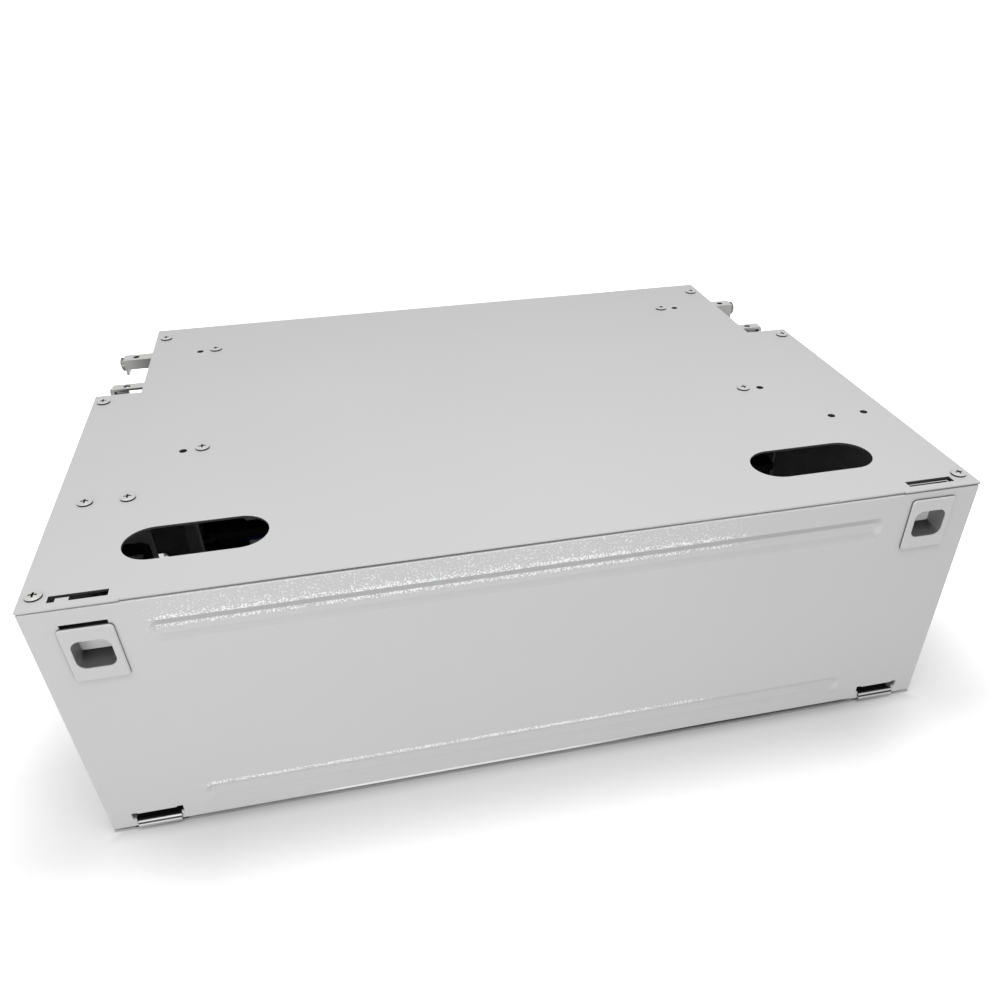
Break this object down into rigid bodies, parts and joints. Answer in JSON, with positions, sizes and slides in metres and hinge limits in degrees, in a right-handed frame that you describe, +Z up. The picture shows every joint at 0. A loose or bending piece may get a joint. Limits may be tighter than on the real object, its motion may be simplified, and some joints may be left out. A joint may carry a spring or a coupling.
{
  "type": "sliding fibre patch drawer",
  "caption": "Rack-mounted fibre patch housing with a drop-down door on hooked hinges, sliding latches, sliding splice-and-patch trays, obround fibre openings and rear cable clamps",
  "frame": {"origin": "on the underside of the base plate, midway across, in the plane of the rack flanges", "axes": "X across the rack, to the right as seen from the door; Y from the door to the rear; Z up"},
  "size_m": [0.4826, 0.3697, 0.1546],
  "materials": {
    "powder_coat": "fine-textured light grey powder coat",
    "zinc": "bright zinc plating",
    "latch_plastic": "moulded light grey",
    "rail_plastic": "moulded black",
    "tray_plastic": "moulded black",
    "adapter_plastic": "moulded dark blue",
    "comb_plastic": "moulded white",
    "clear_lid": "clear sheet",
    "rubber": "black rubber"
  },
  "bodies": {
    "case": {"base_plate": "powder_coat", "top_cover": "powder_coat", "side_left": "powder_coat", "side_right": "powder_coat", "rear_panel": "powder_coat", "cage_left": "powder_coat", "cage_right": "powder_coat", "rails_left": "rail_plastic", "rails_right": "rail_plastic", "cover_screws": "zinc", "cage_screws": "zinc", "bracket_screws": "zinc", "base_screws": "zinc", "fibre_bracket": "powder_coat", "fibre_rings": "rail_plastic", "sheath_clamp_left": "zinc", "sheath_clamp_right": "zinc", "core_clamp_left": "zinc", "core_clamp_right": "zinc", "sheath_screws_left": "zinc", "sheath_screws_right": "zinc", "core_screws_left": "zinc", "core_screws_right": "zinc", "grommet_left": "rubber", "grommet_right": "rubber", "earth_stud": "zinc", "earth_nuts": "zinc"},
    "door": {"front_door": "powder_coat"},
    "latch_left": {"latch_grip_left": "latch_plastic", "latch_bolt_left": "latch_plastic"},
    "latch_right": {"latch_grip_right": "latch_plastic", "latch_bolt_right": "latch_plastic"},
    "tray_drawer_1": {"tray_1": "tray_plastic", "adapters_1": "adapter_plastic", "splice_comb_1": "comb_plastic", "tray_lid_1": "clear_lid"},
    "tray_drawer_2": {"tray_2": "tray_plastic", "adapters_2": "adapter_plastic", "splice_comb_2": "comb_plastic", "tray_lid_2": "clear_lid"},
    "tray_drawer_3": {"tray_3": "tray_plastic", "adapters_3": "adapter_plastic", "splice_comb_3": "comb_plastic", "tray_lid_3": "clear_lid"},
    "tray_drawer_4": {"tray_4": "tray_plastic", "adapters_4": "adapter_plastic", "splice_comb_4": "comb_plastic", "tray_lid_4": "clear_lid"},
    "tray_drawer_5": {"tray_5": "tray_plastic", "adapters_5": "adapter_plastic", "splice_comb_5": "comb_plastic", "tray_lid_5": "clear_lid"},
    "tray_drawer_6": {"tray_6": "tray_plastic", "adapters_6": "adapter_plastic", "splice_comb_6": "comb_plastic", "tray_lid_6": "clear_lid"}
  },
  "joints": [
    {"name": "door_hinge", "type": "hinge", "parent": "case", "child": "door", "pos_m": [0, -0.2336, 0.0034], "axis": [1, 0, 0], "range_deg": [0, 90]},
    {"name": "latch_slide_left", "type": "slide", "parent": "door", "child": "latch_left", "axis": [0, 0, 1], "range_m": [0, 0.0084]},
    {"name": "latch_slide_right", "type": "slide", "parent": "door", "child": "latch_right", "axis": [0, 0, 1], "range_m": [-0.0065, 0.0019]},
    {"name": "tray_slide_1", "type": "slide", "parent": "case", "child": "tray_drawer_1", "axis": [0, -1, 0], "range_m": [0, 0.107]},
    {"name": "tray_slide_2", "type": "slide", "parent": "case", "child": "tray_drawer_2", "axis": [0, -1, 0], "range_m": [0, 0.107]},
    {"name": "tray_slide_3", "type": "slide", "parent": "case", "child": "tray_drawer_3", "axis": [0, -1, 0], "range_m": [0, 0.107]},
    {"name": "tray_slide_4", "type": "slide", "parent": "case", "child": "tray_drawer_4", "axis": [0, -1, 0], "range_m": [0, 0.107]},
    {"name": "tray_slide_5", "type": "slide", "parent": "case", "child": "tray_drawer_5", "axis": [0, -1, 0], "range_m": [0, 0.107]},
    {"name": "tray_slide_6", "type": "slide", "parent": "case", "child": "tray_drawer_6", "axis": [0, -1, 0], "range_m": [0, 0.107]}
  ],
  "couplings": [
    {"joint": "tray_slide_1", "follows": "door_hinge", "m_per_rad": 0.068},
    {"joint": "tray_slide_2", "follows": "door_hinge", "m_per_rad": 0.068},
    {"joint": "tray_slide_3", "follows": "door_hinge", "m_per_rad": 0.068},
    {"joint": "tray_slide_4", "follows": "door_hinge", "m_per_rad": 0.068},
    {"joint": "tray_slide_5", "follows": "door_hinge", "m_per_rad": 0.068},
    {"joint": "tray_slide_6", "follows": "door_hinge", "m_per_rad": 0.068}
  ]
}
